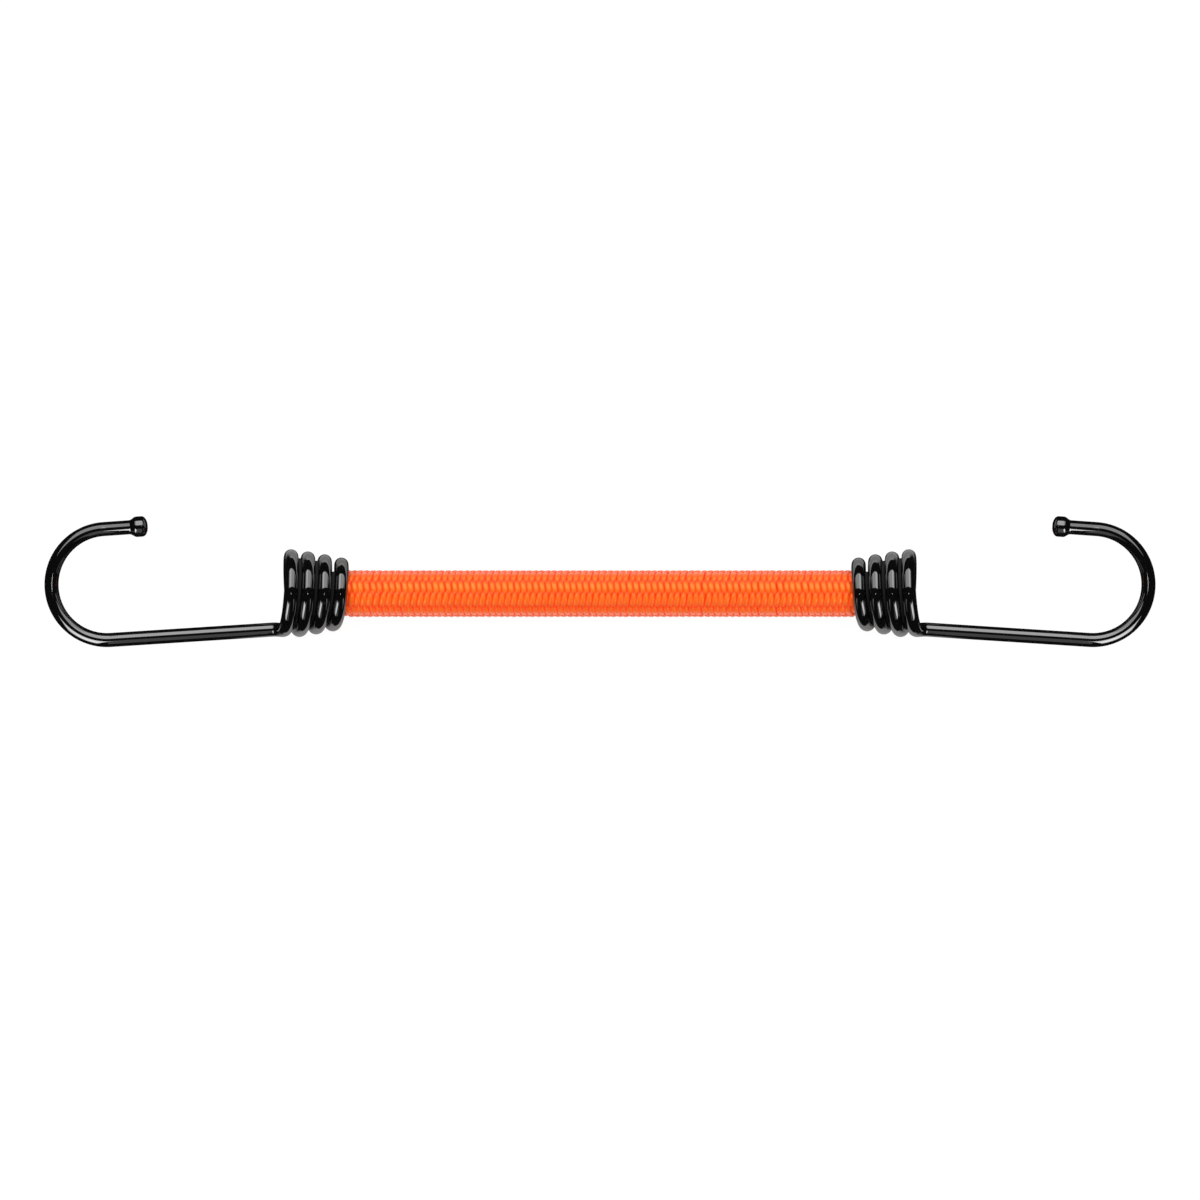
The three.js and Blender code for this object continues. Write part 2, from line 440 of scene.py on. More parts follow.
@dataclass(frozen=True)
class BlackDip:
    """Glossy black plastic, dipped over the wire."""

    colour: Colour = (0.002, 0.002, 0.0022)
    dusty: Colour = (0.009, 0.009, 0.010)
    dust: float = 0.6
    smooth: float = 0.045
    scuffed: float = 0.16
    dull: float = 0.95
    coat_roughness: float = 0.04
    ripple_scale: float = 260.0
    patch_scale: float = 900.0
    patch_share: float = 0.06
    scuff_range: Span = (0.62, 0.74)
    grit_scale: float = 2600.0
    grit_range: Span = (0.7, 0.78)
    grit_share: float = 0.1
    relief: float = 0.045 * MM
    relief_strength: float = 0.6

    def material(self) -> bpy.types.Material:
        """Build the finish with its faint ripples, scuffs and dust, dull where it has run into the gaps.

        Returns:
            The material.
        """
        tree = Shader("black_dip")
        place = tree.node("ShaderNodeTexCoord", {}, {}, "Object")
        ripple = tree.noise(place, self.ripple_scale, 1.0)
        patches = tree.noise(place, self.patch_scale, 3.0, 0.6)
        scuffs = tree.smooth(patches, *self.scuff_range)
        grit = tree.smooth(tree.noise(place, self.grit_scale, 1.0), *self.grit_range)
        relief = ripple + self.patch_share * patches + self.grit_share * grit
        web = tree.attribute("web")
        skin = self.smooth + (self.scuffed - self.smooth) * scuffs
        return tree.surface(tree.principled({
            "Base Color": tree.blend(scuffs * (1 - web) * self.dust, self.colour, self.dusty),
            "Roughness": skin + (self.dull - skin) * web,
            "IOR": 1.5,
            "Specular IOR Level": 1.0,
            "Coat Weight": 1 - web,
            "Coat Roughness": self.coat_roughness,
            "Normal": tree.bump(relief, self.relief, self.relief_strength),
        }))


@dataclass(frozen=True)
class OrangeYarn:
    """Bright orange polyester yarn of many fine filaments."""

    bright: Colour = (1.0, 0.185, 0.008)
    # Painted shade: the yarn turns to this deeper colour in the gaps where it dips under its neighbours and
    # at its sides; random streaks and blotches also lean towards it as the yarn's own tone.
    gap_shade_and_dark_tone: Colour = (0.98, 0.04, 0.0)
    # Painted glow: the yarn gives off a little red light of its own, which lifts its shaded side.
    glow: Colour = (1.0, 0.04, 0.0)
    painted_glow_strength: float = 0.18
    sheen: Colour = (1.0, 0.92, 0.84)
    sheen_roughness: float = 0.38
    metallic: float = 0.35
    rough: float = 0.46
    streak_gloss: float = 0.2
    streak_scale: float = 420.0
    filaments: float = 1.9
    twist: float = 55.0
    blotch_scale: float = 60.0
    yarn_steps: Span = (5.3, 3.1)
    # These four set the painted shade: deep in the gaps between yarns, bright on their raised crests.
    lift_range: Span = (-0.45, 0.75)
    crest_range: Span = (0.0, 0.8)
    ground_share: float = 0.06
    painted_shade_share: float = 0.85
    streak_share: float = 0.6
    blotch_share: float = 0.5
    relief: float = 0.05 * MM
    relief_strength: float = 0.5

    def material(self) -> bpy.types.Material:
        """Build the finish from how far along and round its yarn each point lies, with painted shade where
        the yarns dip into the gaps and a painted glow.

        Returns:
            The material.
        """
        tree = Shader("orange_yarn")
        along, crest, side = tree.swept()
        yarn = tree.attribute("yarn")
        turn = along * (self.twist * FULL_TURN)
        cosine = tree.math("COSINE", turn)
        sine = tree.math("SINE", turn)
        streak_step, blotch_step = self.yarn_steps
        place = tree.vector(
            along * self.streak_scale,
            (crest * cosine - side * sine) * self.filaments,
            (crest * sine + side * cosine) * self.filaments + yarn * streak_step)
        streaks = tree.noise(place, 1.0, 2.0, 0.6)
        blotches = tree.noise(tree.vector(along * self.blotch_scale, yarn * blotch_step, 0.0), 1.0, 2.0)
        # Painted shade: darker where a yarn dips under the other lay or turns its side, besides random tone
        # from streaks and blotches.
        lifted = tree.smooth(tree.attribute("lift"), *self.lift_range)
        raised = lifted * tree.smooth(abs(crest), *self.crest_range)
        share = (self.ground_share + self.painted_shade_share * raised
                 + self.streak_share * (streaks - 0.5) + self.blotch_share * (blotches - 0.5))
        sockets = {
            "Base Color": tree.blend(share, self.gap_shade_and_dark_tone, self.bright),
            "Roughness": self.rough - self.streak_gloss * streaks,
            "Metallic": self.metallic,
            "Specular IOR Level": 0.5,
            # Painted glow, although the yarn is no lamp.
            "Emission Color": (*self.glow, 1.0),
            "Emission Strength": self.painted_glow_strength,
            "Normal": tree.bump(streaks, self.relief, self.relief_strength),
        }
        sunk = tree.principled(sockets)
        fuzzy = tree.principled({
            **sockets,
            "Sheen Weight": 1.0,
            "Sheen Roughness": self.sheen_roughness,
            "Sheen Tint": (*self.sheen, 1.0),
        })
        return tree.surface(tree.node("ShaderNodeMixShader", {}, {0: raised, 1: sunk, 2: fuzzy}))


@dataclass(frozen=True)
class LatexStrand:
    """Pale rubber strand, dusted with talc."""

    rubber: Colour = (0.52, 0.40, 0.24)
    talc: Colour = (0.78, 0.72, 0.62)
    talc_range: Span = (0.4, 0.7)
    smooth: float = 0.62
    mark_roughness: float = 0.3
    mark_scale: float = 90.0
    strand_step: float = 4.7
    relief: float = 0.04 * MM
    relief_strength: float = 0.5

    def material(self) -> bpy.types.Material:
        """Build the finish with its talc and its faint lengthwise marks.

        Returns:
            The material.
        """
        tree = Shader("latex_strand")
        along, crest, side = tree.swept()
        shift = tree.attribute("strand") * self.strand_step
        place = tree.vector(along * self.mark_scale, crest, side + shift)
        marks = tree.noise(place, 1.0, 3.0, 0.6)
        return tree.surface(tree.principled({
            "Base Color": tree.blend(tree.smooth(marks, *self.talc_range), self.rubber, self.talc),
            "Roughness": self.smooth + self.mark_roughness * marks,
            "Specular IOR Level": 0.4,
            "Normal": tree.bump(marks, self.relief, self.relief_strength),
        }))


@dataclass(frozen=True)
class ZincWire:
    """Drawn steel wire with a thin zinc coat."""

    zinc: Colour = (0.60, 0.61, 0.62)
    dull: Colour = (0.36, 0.36, 0.37)
    dull_range: Span = (0.35, 0.7)
    smooth: float = 0.26
    dull_roughness: float = 0.28
    spangle_scale: float = 1400.0
    line_scales: Span = (120.0, 4.0)
    relief: float = 0.02 * MM
    relief_strength: float = 0.6

    def material(self) -> bpy.types.Material:
        """Build the finish with its drawing lines and dull patches.

        Returns:
            The material.
        """
        tree = Shader("zinc_wire")
        along, crest, side = tree.swept()
        length, girth = self.line_scales
        place = tree.vector(along * length, crest * girth, side * girth)
        lines = tree.noise(place, 1.0, 2.0)
        spangle = tree.noise(tree.node("ShaderNodeTexCoord", {}, {}, "Object"), self.spangle_scale, 2.0)
        return tree.surface(tree.principled({
            "Base Color": tree.blend(tree.smooth(spangle, *self.dull_range), self.zinc, self.dull),
            "Metallic": 1.0,
            "Roughness": self.smooth + self.dull_roughness * spangle,
            "Normal": tree.bump(lines, self.relief, self.relief_strength),
        }))


@dataclass(frozen=True)
class WhiteFloor:
    """The plain white surface under the cord, which keeps a faint shadow."""

    paper: Colour = (0.88, 0.88, 0.88)
    near_grey: Colour = (0.42, 0.42, 0.42)
    far_grey: Colour = (0.95, 0.95, 0.95)
    dark: Colour = (0.01, 0.01, 0.01)
    backlit: float = 0.92
    white: float = 1.04
    grey_range: Span = (12 * MM, 50 * MM)
    painted_shadow_strip: Span = (8 * MM, 12 * MM)
    patch_middle: float = 8 * MM
    patch_edge: Span = (42 * MM, 48 * MM)
    patch_ends: Span = (74 * MM, 84 * MM)

    def _mirrored(self, tree: Shader) -> Signal:
        """What reflections see: a pale patch on both sides of the cord in a dark room, darkened under the
        cord by a painted shadow.

        Args:
            tree: where the floor's nodes go.

        Returns:
            The colour.
        """
        place = tree.node("ShaderNodeTexCoord", {}, {}, "Object")
        along = tree.node("ShaderNodeSeparateXYZ", {}, {"Vector": place}, "X")
        across = along.other("Y")
        past_ends = tree.smooth(abs(along), *self.patch_ends)
        past_edge = tree.smooth(abs(across - self.patch_middle), *self.patch_edge)
        outside = tree.math("MAXIMUM", past_ends, past_edge)
        # Painted shadow: reflections see the floor dark in a strip under the cord.
        painted_shadow_under_cord = 1 - tree.smooth(abs(across), *self.painted_shadow_strip)
        pale = tree.blend(tree.smooth(abs(across), *self.grey_range), self.near_grey, self.far_grey)
        return tree.blend(tree.math("MAXIMUM", outside, painted_shadow_under_cord), pale, self.dark)

    def material(self) -> bpy.types.Material:
        """Build a floor that the camera sees as white with a faint shadow, and reflections as a pale patch.

        Returns:
            The material.
        """
        tree = Shader("white_floor")
        seen, glossy = tree.sight()
        shade = tree.blend(glossy * (1 - seen), self.paper, self._mirrored(tree))
        paper = tree.node("ShaderNodeBsdfDiffuse", {}, {"Color": shade})
        glow = tree.node("ShaderNodeEmission", {}, {"Color": (1.0, 1.0, 1.0, 1.0), "Strength": self.white})
        return tree.surface(tree.node("ShaderNodeMixShader", {}, {0: seen * self.backlit, 1: paper, 2: glow}))


@dataclass(frozen=True)
class CordPlace:
    """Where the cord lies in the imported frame, in metres."""

    across: float
    height: float
    half_length: float
    radius: float

    @classmethod
    def from_frame(cls) -> "CordPlace":
        """Read the sheath's box.

        Returns:
            The cord's place.
        """
        low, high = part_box("braided_sheath")
        middle = (low + high) / 2
        return cls(middle.y, middle.z, high.x, (high.y - low.y) / 2)

    def at(self, x: float) -> Vector:
        """The point of the cord's axis at a place along it."""
        return Vector((x, self.across, self.height))


@dataclass
class BraidedSheath:
    """The orange braid: five yarns each way, every yarn over one and under one, in rows along the cord."""

    place: CordPlace
    yarns_each_way: int = 5
    lozenge_spacing: float = 1.405 * MM
    fullness: float = 0.27 * MM
    yarn_width: float = 1.34 * MM
    yarn_thickness: float = 0.74 * MM
    weave_depth: float = 0.36 * MM
    float_flat: float = 1.25
    straighten: float = 0.06 * MM
    end_width: float = 0.9
    belly: float = 0.24
    stray: float = 0.4 * MM
    stray_scale: float = 350.0
    stray_step: float = 9.0
    unevenness: float = 0.12
    rings_per_turn: int = 60
    section_sides: int = 8
    liner_radius: float = 3.93 * MM
    liner_wall: float = 0.08 * MM
    liner_sides: int = 48
    grip_start: float = 56.6 * MM
    grip_ramp: float = 1.2 * MM
    grip_squeeze: float = 0.45 * MM
    neck_place: float = 66.354 * MM
    neck_half: float = 1.15 * MM
    neck_depth: float = 0.4 * MM
    neck_ease: float = 0.75 * MM
    route_steps: int = 24

    def _yarn(self, tree: Sweep, lay: Lay, start: float, sizes: Dict[str, Signal]) -> Signal:
        """One yarn, wound round the axis through the origin.

        Args:
            tree: where its nodes go.
            lay: which way it winds.
            start: its angle from the top at the cord's middle.
            sizes: the tree's named inputs.

        Returns:
            The yarn's mesh.
        """
        line = tree.line(sizes["length"] / 2, sizes["rings"])
        x = tree.spot()
        stray = tree.node("ShaderNodeTexNoise", {"noise_dimensions": "1D"}, {
            "W": x * self.stray_scale + start * self.stray_step, "Scale": 1.0, "Detail": 1.0}, "Fac") - 0.5
        wander = stray * sizes["stray"]
        angle = (x + wander) * (lay.value * FULL_TURN) / sizes["pitch"] + start
        lift = tree.math("SINE", angle * self.yarns_each_way) * -lay.value
        wave = tree.smooth(lift, -self.float_flat, self.float_flat) * 2 - 1
        sway = tree.math("COSINE", angle * self.yarns_each_way) * sizes["straighten"]
        reach = abs(x)
        grip = tree.smooth(reach, self.grip_start, self.grip_start + self.grip_ramp) * sizes["squeeze"]
        inner = self.neck_place - self.neck_half
        outer = self.neck_place + self.neck_half
        falling = tree.smooth(reach, inner - self.neck_ease, inner)
        rising = tree.smooth(reach, outer, outer + self.neck_ease)
        top = sizes["radius"] - grip - falling * (1 - rising) * sizes["neck"]
        radius = top - sizes["thickness"] / 2 - (1 - wave) * sizes["depth"] / 2
        side = tree.math("SINE", angle)
        up = tree.math("COSINE", angle)
        wound = tree.node("GeometryNodeSetPosition", {}, {
            "Geometry": tree.keep(line, "lift", lift),
            "Position": tree.vector(x - sway, radius * side, radius * up)})
        turned = tree.node("GeometryNodeSetCurveNormal", {"mode": "FREE"}, {
            "Curve": wound, "Normal": tree.vector(0.0, side, up)})
        section = tree.node("GeometryNodeTransform", {}, {
            "Geometry": tree.circle(self.section_sides, 0.5),
            "Scale": tree.vector(sizes["thickness"], sizes["width"], 1.0)})
        return tree.sweep(turned, section, self.end_width + stray * self.unevenness + lift * self.belly)

    def _liner(self, tree: Sweep, length: Signal) -> Signal:
        """A thin tube of the same yarn just inside the braid, which shows only through its pores, all in the
        painted shade colour.

        Args:
            tree: where its nodes go.
            length: the cord's length.

        Returns:
            The tube's mesh.
        """
        upright = tree.node("GeometryNodeTransform", {}, {
            "Geometry": tree.circle(self.liner_sides, tree.size("Liner Radius", self.liner_radius)),
            "Rotation": (0.0, math.pi / 2, 0.0)})
        wall = tree.node("GeometryNodeCurvePrimitiveQuadrilateral", {}, {
            "Width": length, "Height": self.liner_wall})
        # A lift of -1 paints the whole tube in the deep shade colour, a dark sheet where the pores show only
        # shade.
        return tree.keep(tree.sweep(upright, wall), "lift", -1.0)

    def build(self, finish: OrangeYarn) -> bpy.types.Object:
        """Braid the yarns into one mesh round the cord's axis.

        Args:
            finish: the yarn's finish.

        Returns:
            The sheath.
        """
        tree = Sweep("braided_yarns")
        pitch = self.yarns_each_way * self.lozenge_spacing
        turns = 2 * self.place.half_length / pitch
        sizes = {
            "length": tree.size("Cord Length", 2 * self.place.half_length),
            "pitch": tree.size("Yarn Pitch", pitch),
            "rings": tree.count("Rings Along A Yarn", round(turns * self.rings_per_turn)),
            "radius": tree.size("Cord Radius", self.place.radius + self.fullness),
            "width": tree.size("Yarn Width", self.yarn_width),
            "thickness": tree.size("Yarn Thickness", self.yarn_thickness),
            "depth": tree.size("Weave Depth", self.weave_depth),
            "stray": tree.size("Stray", self.stray),
            "straighten": tree.size("Straighten", self.straighten),
            "squeeze": tree.size("Grip Squeeze", self.grip_squeeze),
            "neck": tree.size("Neck Depth", self.neck_depth),
        }
        number = tree.count("Yarns Each Way", self.yarns_each_way)
        index = tree.node("GeometryNodeInputIndex")
        ways = []
        for lay in Lay:
            start = 0.0 if lay is Lay.FALLING else math.pi / self.yarns_each_way
            points = tree.node("GeometryNodePoints", {}, {"Count": number})
            rings = tree.node("GeometryNodeInstanceOnPoints", {}, {
                "Points": points, "Instance": self._yarn(tree, lay, start, sizes),
                "Rotation": tree.vector(index * FULL_TURN / number, 0.0, 0.0)})
            ways.append(tree.keep(rings, "yarn", index + lay.value * self.yarns_each_way, "INSTANCE"))
        liner = self._liner(tree, sizes["length"])
        braid = tree.node("GeometryNodeJoinGeometry", {}, {"Geometry": ways + [liner]})
        moved = tree.move(braid, self.place.at(0.0))
        return tree.piece(moved, bpy.data.meshes.new("braid_start"), "braided_yarns", finish.material())

    def declare(self, sheath: bpy.types.Object, windings: float) -> None:
        """Bake the sheath's place into its mesh and hide the plain sheath in its stead.

        Args:
            sheath: the finished braid.
            windings: where the windings leave the cord bare, to each side of its middle.
        """
        self.place.at(-windings)
        self.place.at(windings)
        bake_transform(sheath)
        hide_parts("braided_sheath")
        length = 2 * self.place.half_length
        shares = [i / self.route_steps for i in range(self.route_steps + 1)]
        route = [self.place.at(length * (share - 0.5)) for share in shares]
        self.place.at(-self.place.half_length)
        2 * self.place.radius


@dataclass
class RubberCore:
    """The bundle of rubber strands inside the braid."""

    place: CordPlace
    layers: int = 3
    spacing: float = 1.057 * MM
    strand_diameter: float = 0.97 * MM
    sides: int = 10
    rings: int = 24
    end_scatter: float = 0.25 * MM
    seed: int = 7

    def _places(self) -> List[Vector]:
        """Where the strands cross the cord: one in the middle and six-sided rings round it.

        Returns:
            The places, from the cord's axis.
        """
        angles = [k * math.pi / 3 for k in range(7)]
        corners = [Vector((0.0, math.cos(angle), math.sin(angle))) for angle in angles]
        places = [Vector((0.0, 0.0, 0.0))]
        for layer in range(1, self.layers + 1):
            for start, stop in zip(corners, corners[1:]):
                places += [start.lerp(stop, step / layer) * layer * self.spacing for step in range(layer)]
        return places

    def build(self, finish: LatexStrand) -> bpy.types.Object:
        """Lay the strands side by side.

        Args:
            finish: the rubber's finish.

        Returns:
            The core as one mesh.
        """
        tree = Sweep("rubber_strands")
        half = tree.size("Half Length", self.place.half_length - self.end_scatter)
        diameter = tree.size("Strand Diameter", self.strand_diameter)
        scatter = tree.size("End Scatter", self.end_scatter)
        strand = tree.sweep(tree.line(half, self.rings), tree.circle(self.sides, diameter / 2))
        shift = tree.node("FunctionNodeRandomValue", {"data_type": "FLOAT"}, {
            "Min": scatter * -1, "Max": scatter, "Seed": self.seed})
        spread = tree.node("GeometryNodeSetPosition", {}, {
            "Geometry": tree.geometry, "Offset": tree.vector(shift, 0.0, 0.0)})
        bundle = tree.node("GeometryNodeInstanceOnPoints", {}, {"Points": spread, "Instance": strand})
        numbered = tree.keep(bundle, "strand", tree.node("GeometryNodeInputIndex"), "INSTANCE")
        moved = tree.move(numbered, self.place.at(0.0))
        start = bpy.data.meshes.new("strand_places")
        start.from_pydata(self._places(), [], [])
        return tree.piece(moved, start, "rubber_core", finish.material())

    def declare(self, core: bpy.types.Object, windings: float) -> None:
        """Bake the core's place into its mesh and hide the plain strands in its stead.

        Args:
            core: the finished bundle.
            windings: where the windings leave the cord bare, to each side of its middle.
        """
        self.place.at(-windings)
        self.place.at(windings)
        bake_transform(core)
        strands = sorted(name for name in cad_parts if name.startswith("rubber_strand_"))
        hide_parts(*strands)


@dataclass
class EndClamp:
    """The steel ring that keeps the cord's end inside its winding."""

    place: CordPlace
    end: End
    along: float = 66.354 * MM
    ring_radius: float = 5.3 * MM
    wire_radius: float = 0.75 * MM
    opening: float = math.radians(14)
    steps: int = 72
    sides: int = 16

    def build(self, finish: ZincWire) -> bpy.types.Object:
        """Bend the wire into an open ring.

        Args:
            finish: the steel's finish.

        Returns:
            The ring.
        """
        name = self.end.word + "_clamp_ring"
        tree = Sweep(name)
        arc = tree.node("GeometryNodeCurveArc", {"mode": "RADIUS"}, {
            "Resolution": self.steps, "Radius": tree.size("Ring Radius", self.ring_radius),
            "Start Angle": self.opening / 2, "Sweep Angle": FULL_TURN - self.opening})
        upright = tree.node("GeometryNodeTransform", {}, {
            "Geometry": arc, "Rotation": (0.0, math.pi / 2, 0.0),
            "Translation": tuple(self.place.at(self.end.value * self.along))})
        wire = tree.sweep(upright, tree.circle(self.sides, tree.size("Wire Radius", self.wire_radius)))
        ring = tree.piece(wire, bpy.data.meshes.new("ring_start"), name, finish.material())
        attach(ring, "cord" if self.end is End.LEFT else "right_cord_end")
        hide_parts(self.end.word + "_end_clamp")
        return ring


@dataclass
class WireHook:
    """A hook bent from one wire: a tapering winding, an elbow, a shank, a round bend and a bulb."""

    place: CordPlace
    end: End
    visible_cord: float = 111.3 * MM
    wire_diameter: float = 3.2 * MM
    turn_gap: float = 0.57 * MM
    coil_turns: float = 3.75
    taper_turns: float = 3.5
    taper_power: float = 1.35
    turn_lean: float = math.radians(8.3)
    first_turn_radius: float = 8.55 * MM
    last_turn_radius: float = 6.53 * MM
    elbow_reach: float = 2.4 * MM
    elbow_lift: float = 0.45 * MM
    elbow_turn: float = 25 / 360
    elbow_steps: int = 24
    shank_length: float = 36.4 * MM
    shank_slope: float = math.radians(3.66)
    shank_rings: int = 8
    bend_radius: float = 12.5 * MM
    arm_length: float = 10.0 * MM
    arm_slope: float = math.radians(4)
    bulb_diameter: float = 4.65 * MM
    bulb_length: float = 4.1 * MM
    bulb_flare: float = 1.6 * MM
    bulb_rounding: float = 1.25 * MM
    bulb_rings: int = 28
    bulb_crowding: float = 1.4
    nose_flat: float = 1.5 * MM
    hidden_end_rounding: float = 0.6 * MM
    hidden_end_rings: int = 6
    web_radius: float = 0.7 * MM
    web_sink: float = 0.85 * MM
    web_turns: Span = (0.02, 2.38)
    web_margin: float = 1.01
    rings_per_turn: int = 64
    bend_rings: int = 72
    sides: int = 28

    @property
    def tail(self) -> float:
        """Where the winding's last turn ends, along the cord from its middle."""
        return self.visible_cord / 2 + self.wire_diameter / 2

    @property
    def pitch(self) -> float:
        """How far one turn of the winding moves along the cord."""
        return self.wire_diameter + self.turn_gap

    @property
    def web_share(self) -> float:
        """How thick the web between the turns is, as a share of the wire."""
        return 2 * self.web_radius / self.wire_diameter

    def _turn_radius(self, turn: float) -> float:
        """How far the winding's middle line is from the cord's axis.

        Args:
            turn: how many turns from the winding's mouth.

        Returns:
            The radius.
        """
        share = min(turn / self.taper_turns, 1.0)
        taper = self.first_turn_radius - self.last_turn_radius
        return self.last_turn_radius + taper * (1 - share ** self.taper_power)

    def _coil_point(self, turn: float) -> Vector:
        """A point on the winding's middle line.

        Args:
            turn: how many turns from the winding's mouth.

        Returns:
            The point: outwards along the cord, across it and up, from the cord's middle.
        """
        mouth = self.tail + self.coil_turns * self.pitch
        radius = self._turn_radius(turn)
        angle = FULL_TURN * turn
        up = radius * math.sin(angle)
        lean = up * math.tan(self.turn_lean)
        return Vector((mouth - self.pitch * turn - lean, -radius * math.cos(angle), up))

    def _elbow(self, shank_start: Vector, shank_way: Vector) -> List[Vector]:
        """The smooth corner from the first turn to the shank.

        Args:
            shank_start: where the straight shank begins.
            shank_way: the shank's direction.

        Returns:
            Points from the winding to the shank, both ends included.
        """
        join = self._coil_point(self.elbow_turn)
        small = 0.001
        way = (self._coil_point(self.elbow_turn + small) - join).normalized()
        # Handles of this length turn a square corner into nearly a quarter circle.
        handle = (shank_start - join).length * (4 / 3) * (math.sqrt(2) - 1) / math.sqrt(2)
        controls = [join, join - way * handle, shank_start - shank_way * handle, shank_start]
        points = []
        for i in range(self.elbow_steps + 1):
            t = i / self.elbow_steps
            shares = ((1 - t) ** 3, 3 * t * (1 - t) ** 2, 3 * t * t * (1 - t), t ** 3)
            points.append(sum((c * s for c, s in zip(controls, shares)), Vector()))
        return points

    def _tip_swell(self, from_end: float) -> float:
        """How thick the bulb is.

        Args:
            from_end: the distance back from the tip.

        Returns:
            The thickness there, as a share of the wire's.
        """
        bulb = self.bulb_diameter / self.wire_diameter
        if from_end < self.bulb_rounding:
            nose = math.sqrt(1 - (self.nose_flat / self.bulb_diameter) ** 2)
            rise = nose * (1 - from_end / self.bulb_rounding)
            return bulb * math.sqrt(1 - rise * rise)
        t = min(max((self.bulb_length - from_end) / self.bulb_flare, 0.0), 1.0)
        return 1 + (bulb - 1) * t * t * (3 - 2 * t)

    def _hidden_end(self) -> List[Tuple[Vector, float]]:
        """The wire's rounded end under the cord, where the winding stops.

        Returns:
            Points with the wire's thickness there, as a share of its usual one.
        """
        sunk = 2 * self.hidden_end_rounding / self.wire_diameter
        end = []
        for i in range(self.hidden_end_rings):
            angle = math.pi / 2 * i / self.hidden_end_rings
            back = self.hidden_end_rounding * (1 - math.cos(angle))
            turn = self.coil_turns - back / (FULL_TURN * self.last_turn_radius)
            end.append((self._coil_point(turn), 1 - sunk * (1 - math.sin(angle))))
        return end

    def _route(self) -> List[Tuple[Vector, float]]:
        """The wire's middle line from its hidden end to the tip.

        Returns:
            Points with the wire's thickness there, as a share of its usual one.
        """
        span = self.coil_turns - self.elbow_turn
        coil_rings = round(span * self.rings_per_turn)
        turns = [self.coil_turns - span * i / coil_rings for i in range(1, coil_rings)]
        route = self._hidden_end()
        route += [(self._coil_point(turn), 1.0) for turn in turns]
        mouth = self._coil_point(0.0)
        start = Vector((mouth.x + self.elbow_reach, mouth.y + self.elbow_lift, 0.0))
        way = Vector((math.cos(self.shank_slope), -math.sin(self.shank_slope), 0.0))
        route += [(point, 1.0) for point in self._elbow(start, way)]
        for i in range(1, self.shank_rings):
            route.append((start + way * self.shank_length * i / self.shank_rings, 1.0))
        centre = start + way * self.shank_length + Vector((-way.y, way.x, 0.0)) * self.bend_radius
        first = -math.pi / 2 - self.shank_slope
        last = math.pi / 2 - self.arm_slope
        for i in range(self.bend_rings + 1):
            angle = first + (last - first) * i / self.bend_rings
            out = Vector((math.cos(angle), math.sin(angle), 0.0))
            route.append((centre + out * self.bend_radius, 1.0))
        arm_way = Vector((-math.cos(self.arm_slope), math.sin(self.arm_slope), 0.0))
        tip = route[-1][0] + arm_way * self.arm_length
        for i in range(self.bulb_rings + 1):
            from_end = self.bulb_length * (1 - i / self.bulb_rings) ** self.bulb_crowding
            route.append((tip - arm_way * from_end, self._tip_swell(from_end)))
        return route

    def _web(self) -> List[Tuple[Vector, float]]:
        """The thin web of coating that has run together between neighbouring turns.

        Returns:
            Points midway between two turns, with the web's thickness as a share of the wire's.
        """
        first, last = self.web_turns
        rings = round((last - first) * self.rings_per_turn)
        web = []
        for i in range(rings + 1):
            turn = first + (last - first) * i / rings
            middle = (self._coil_point(turn) + self._coil_point(turn + 1)) / 2
            axis = Vector((middle.x, 0.0, 0.0))
            sunk = middle - (middle - axis).normalized() * self.web_sink
            web.append((sunk, self.web_share))
        return web

    def _curve(self) -> bpy.types.Curve:
        """Draw the middle lines of the wire and the web.

        Returns:
            The curve in the frame, with the swell as its radius.
        """
        curve = bpy.data.curves.new(self.end.word + "_hook_route", "CURVE")
        curve.dimensions = "3D"
        for route in (self._route(), self._web()):
            spline = curve.splines.new("POLY")
            spline.points.add(len(route) - 1)
            for point, (away, swell) in zip(spline.points, route):
                out = Vector((self.end.value * away.x, away.y, away.z))
                point.co = (*(self.place.at(0.0) + out), 1.0)
                point.radius = swell
        return curve

    def build(self, finish: BlackDip) -> bpy.types.Object:
        """Sweep the wire along its route, with the flat that the winding rests on.

        Args:
            finish: the coating's finish.

        Returns:
            The hook.
        """
        name = self.end.word + "_dipped_hook"
        tree = Sweep(name)
        section = tree.circle(self.sides, tree.size("Wire Radius", self.wire_diameter / 2))
        swell = tree.node("GeometryNodeInputRadius")
        thin = tree.size("Web Share", self.web_share * self.web_margin)
        marked = tree.keep(tree.geometry, "web", tree.math("LESS_THAN", swell, thin))
        wire = tree.sweep(marked, section, swell)
        spot = tree.spot()
        raised = tree.math("MAXIMUM", spot.other("Z"), tree.size("Table Height", 0.0))
        rested = tree.node("GeometryNodeSetPosition", {}, {
            "Geometry": wire, "Position": tree.vector(spot, spot.other("Y"), raised)})
        hook = tree.piece(rested, self._curve(), name, finish.material())
        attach(hook, self.end.word + "_hook")
        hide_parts(self.end.word + "_hook_wire")
        return hook


@dataclass(frozen=True)
class Panel:
    """A soft panel that hangs away from its aim, a place along the cord's axis, and faces it.

    A radiance of 1 is as bright as white paper, and the spread is the angle that its light fills.
    """

    name: str
    use: Lamp
    away: Vector
    size: Span
    radiance: float
    aim: float = 0.0
    spread: float = math.pi

    def hang(self, place: CordPlace) -> bpy.types.Object:
        """Put the panel into the scene.

        Args:
            place: where the cord lies.

        Returns:
            The panel.
        """
        width, height = self.size
        data = bpy.data.lights.new(self.name, "AREA")
        data.shape = "RECTANGLE"
        data.size = width
        data.size_y = height
        data.energy = self.radiance * math.pi * width * height
        data.spread = self.spread
        panel = link(bpy.data.objects.new(self.name, data))
        panel.location = place.at(self.aim) + self.away
        panel.rotation_euler = self.away.to_track_quat("Z", "Y").to_euler()
        panel.visible_camera = False
        panel.visible_diffuse = self.use is Lamp.LIT
        panel.visible_glossy = self.use is Lamp.MIRRORED
        return panel


